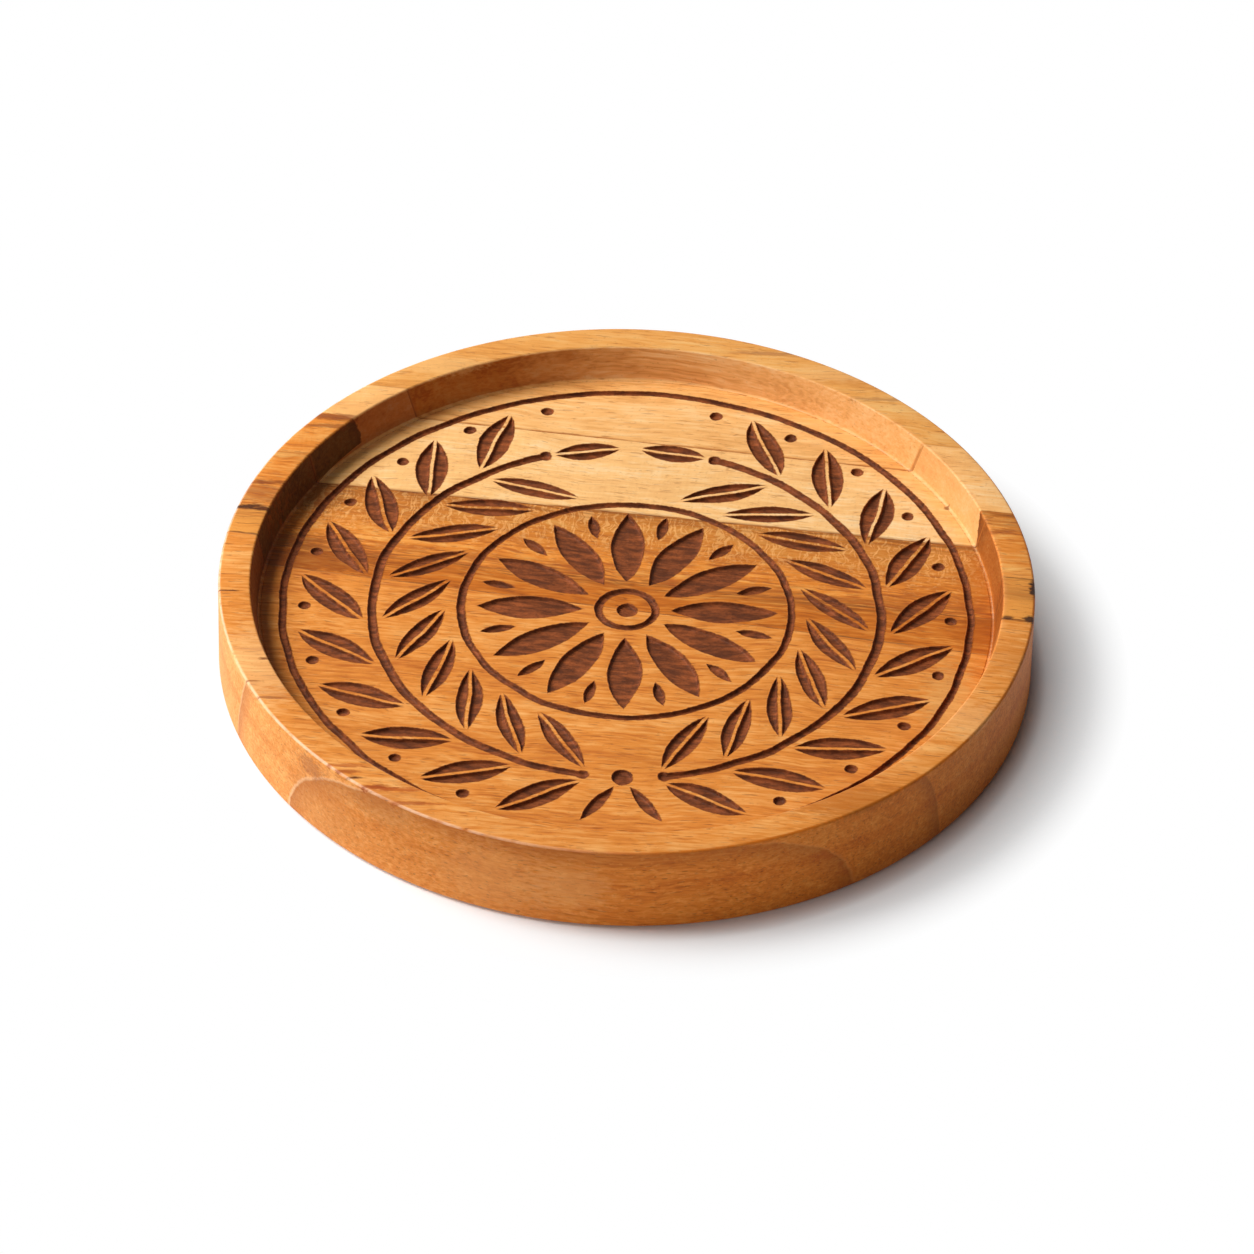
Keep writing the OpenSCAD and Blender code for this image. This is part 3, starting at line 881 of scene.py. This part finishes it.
GOLDEN_MARKS = (Mark((27, -39.5, 12), (10, 4.4, 1), 0.6, "b6641c"),
                Mark((41.6, -24, 12), (5, 4, 1), 0.4, "fcc07c"),
                Mark((46.4, -12.4, 12), (4, 4, 1), 0.4, "c8701f"),
                # Painted to offset light: a paler yellow where the lit right wall throws orange light on the floor
                Mark((39.5, -18, 7.5), (4, 11, 1), 0.5, "e0a860"),
                Mark((-28.5, -41.2, 10), (8, 4, 3), 0.35, "b06c36"),
                Mark((-36, -34.8, 5), (7, 7, 7), 0.3, "c07a3e"),
                Mark((-6, -49.6, 6), (6, 3, 4), 0.4, "f6ac62"),
                Mark((-45, -18, 12), (6, 9, 1), 0.35, "ffce8e"),
                Mark((-15, -47.5, 5.5), (11, 4, 6), 0.35, "f2a862"),
                Mark((-49, -3.6, 12), (1.8, 0.2, 1), 0.85, "5a3016"),
                Mark((-37.3, -33.3, 9.7), (2.6, 2.6, 1.9), 0.45, "a05a34"),
                Mark((-31.9, -37.6, 12), (1, 0.4, 1), 0.95, "582a0e"),
                Mark((-33, -36.6, 12), (2, 0.45, 1), 0.75, "a04a18"),
                Mark((-33.2, -35.5, 12), (3.6, 0.4, 1), 0.75, "b85c20"),
                Mark((-29.2, -39.3, 12), (2.8, 0.5, 1), 0.85, "963c10"),
                Mark((-27, -39.6, 12), (4.4, 0.4, 1), 0.75, "b4541a"),
                Mark((-25, -42, 12), (4.2, 0.4, 1), 0.7, "ac5018"),
                Mark((-42.4, -23.4, 12), (2.4, 0.3, 1), 0.7, "9a5020"),
                Mark((-43.7, -16.2, 12), (0.9, 0.3, 1), 0.8, "6a3414"),
                Mark((-45, -20.4, 12), (1.6, 0.2, 1), 0.7, "94501f"))

# Each stave: its node and its material, and then what teak() is given: the slant of the grain, the shades, the seed
# of the figure, its weights, the bands, the lean, the rings and the marks
STAVES = (
    ("back_stave", "teak_sapwood_streaked", -5, SAPWOOD, 5, STRONG, ((0, 0.1, 0.4, glue_edge, "b0662c"),), None, (),
     BACK_MARKS),
    ("pale_stave", "teak_sapwood_plain", -6, PLAIN_SAPWOOD, 17, SOFT, ((1, 0.1, 0.5, glue_edge, "8a4a1e"),),
     LEAN_PALE, (), PALE_MARKS),
    ("brown_stave", "teak_heartwood_brown", -6.5, BROWN, 29, FINE,
     ((1, -3, -10, shade_over, "b06e30"), (1, -5, -8, curl, "f8bc72"), (1, -8, -13, worms, "f8bc72"),
      (1, -0.2, -2, seams, "7a3e16"), (2, 0, 3.5, seams, "7a3e16"), (2, 4, 9, stains, "a4501c")), LEAN_BROWN, (),
     BROWN_MARKS),
    ("narrow_stave", "teak_heartwood_dark", -7, DARK, 41, FINE, ((2, 0, -2, seams, "6e3614"),), LEAN_DARK, (),
     DARK_MARKS),
    ("front_stave", "teak_heartwood_golden", -5, GOLDEN, 53, FINE, (), None, RINGS, GOLDEN_MARKS),
)

# The glue films: shade on the floor, on the rim, and what it is multiplied by on the left wall as painted shade
FILMS = (
    ("glue_line_back", "a8602a", "e8ac68", "c4ac98"),
    ("glue_line_pale", "6a381a", "c87a34", "927468"),
    ("glue_line_brown", "8a4c20", "c87a34", "927468"),
    ("glue_line_front", "96582a", "d08440", "927468"),
)

blank = carved_blank()
roughen(blank)
for i, (node, finish, *look) in enumerate(STAVES):
    back = joint_plane(i - 1, -GLUE_T / 2) if i else None
    front = joint_plane(i, GLUE_T / 2) if i < len(JOINTS) else None
    part = sawn_part(blank, node + "_teak", back, front)
    part.data.materials.append(teak(finish, *look))
    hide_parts(node)
    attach(part, "root")
for k, (node, *look) in enumerate(FILMS):
    film = sawn_part(blank, node + "_film", joint_plane(k, GLUE_T / 2), joint_plane(k, -GLUE_T / 2))
    film.data.materials.append(glue_material("hardened_" + node, *look))
    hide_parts(node)
    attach(film, "root")
blank.free()

# ---- Floor, light and camera ----
# Half the side of the paper in metres, and how strongly the white room lights the coaster
PAPER_HALF = 3
ROOM_LEVEL = 0.03

scene = bpy.context.scene
paper = bmesh.new()
bmesh.ops.create_grid(paper, x_segments=8, y_segments=8, size=PAPER_HALF)
paper_mesh = bpy.data.meshes.new("paper_floor")
paper.to_mesh(paper_mesh)
paper.free()
paper_floor = bpy.data.objects.new("paper_floor", paper_mesh)
scene.collection.objects.link(paper_floor)
paper_floor.data.materials.append(paper_material())


def soft_light(name, azimuth, height, distance, width, level):
    """A round soft box, in metres. level is what it gives a level white surface, where 1 is plain white."""
    data = bpy.data.lights.new(name, "AREA")
    data.shape = "DISK"
    data.size = width
    data.energy = level * (pi * distance) ** 2 / sin(radians(height))
    lamp = bpy.data.objects.new(name, data)
    scene.collection.objects.link(lamp)
    a, e = radians(azimuth), radians(height)
    back = Vector((cos(a) * cos(e), sin(a) * cos(e), sin(e)))
    lamp.location = distance * back
    lamp.rotation_euler = back.to_track_quat("Z", "Y").to_euler()


soft_light("window_light", 165, 46, 0.75, 0.42, 0.95)
soft_light("front_fill", 232, 26, 1.5, 1.0, 0.09)

world = bpy.data.worlds.new("studio")
scene.world = world
world.use_nodes = True
sky = world.node_tree
sky.nodes.clear()
dim = add(sky, "Background", {"Color": (1, 1, 1, 1), "Strength": ROOM_LEVEL})
white = add(sky, "Background", {"Color": (1, 1, 1, 1), "Strength": 1})
both = add(sky, "MixShader", {0: seen_directly(sky), 1: dim, 2: white})
add(sky, "OutputWorld", {"Surface": both})

# Camera at the photograph's angle, from a fit to the outlines: its distance from the middle of the rim, its height as
# an angle, its shift to the right and up, its roll, and its lens. All lengths are in mm.
CAMERA_DISTANCE = 1115.5
CAMERA_HEIGHT = radians(40.26)
CAMERA_SHIFT = (0.15, -5.56)
CAMERA_ROLL = 0.0255
CAMERA_LENS = 261.65
camera_data = bpy.data.cameras.new("camera")
camera_data.lens = CAMERA_LENS
camera_data.sensor_width = 36
camera_data.clip_end = 20
camera = bpy.data.objects.new("camera", camera_data)
scene.collection.objects.link(camera)
look = Matrix.Rotation(pi / 2 - CAMERA_HEIGHT, 4, "X")
aim = Matrix.Translation((0, 0, COASTER_H)) @ look @ Matrix.Translation((*CAMERA_SHIFT, CAMERA_DISTANCE))
aim.translation *= MM
camera.matrix_world = aim @ Matrix.Rotation(CAMERA_ROLL, 4, "Z")
scene.camera = camera

scene.view_settings.view_transform = "Standard"
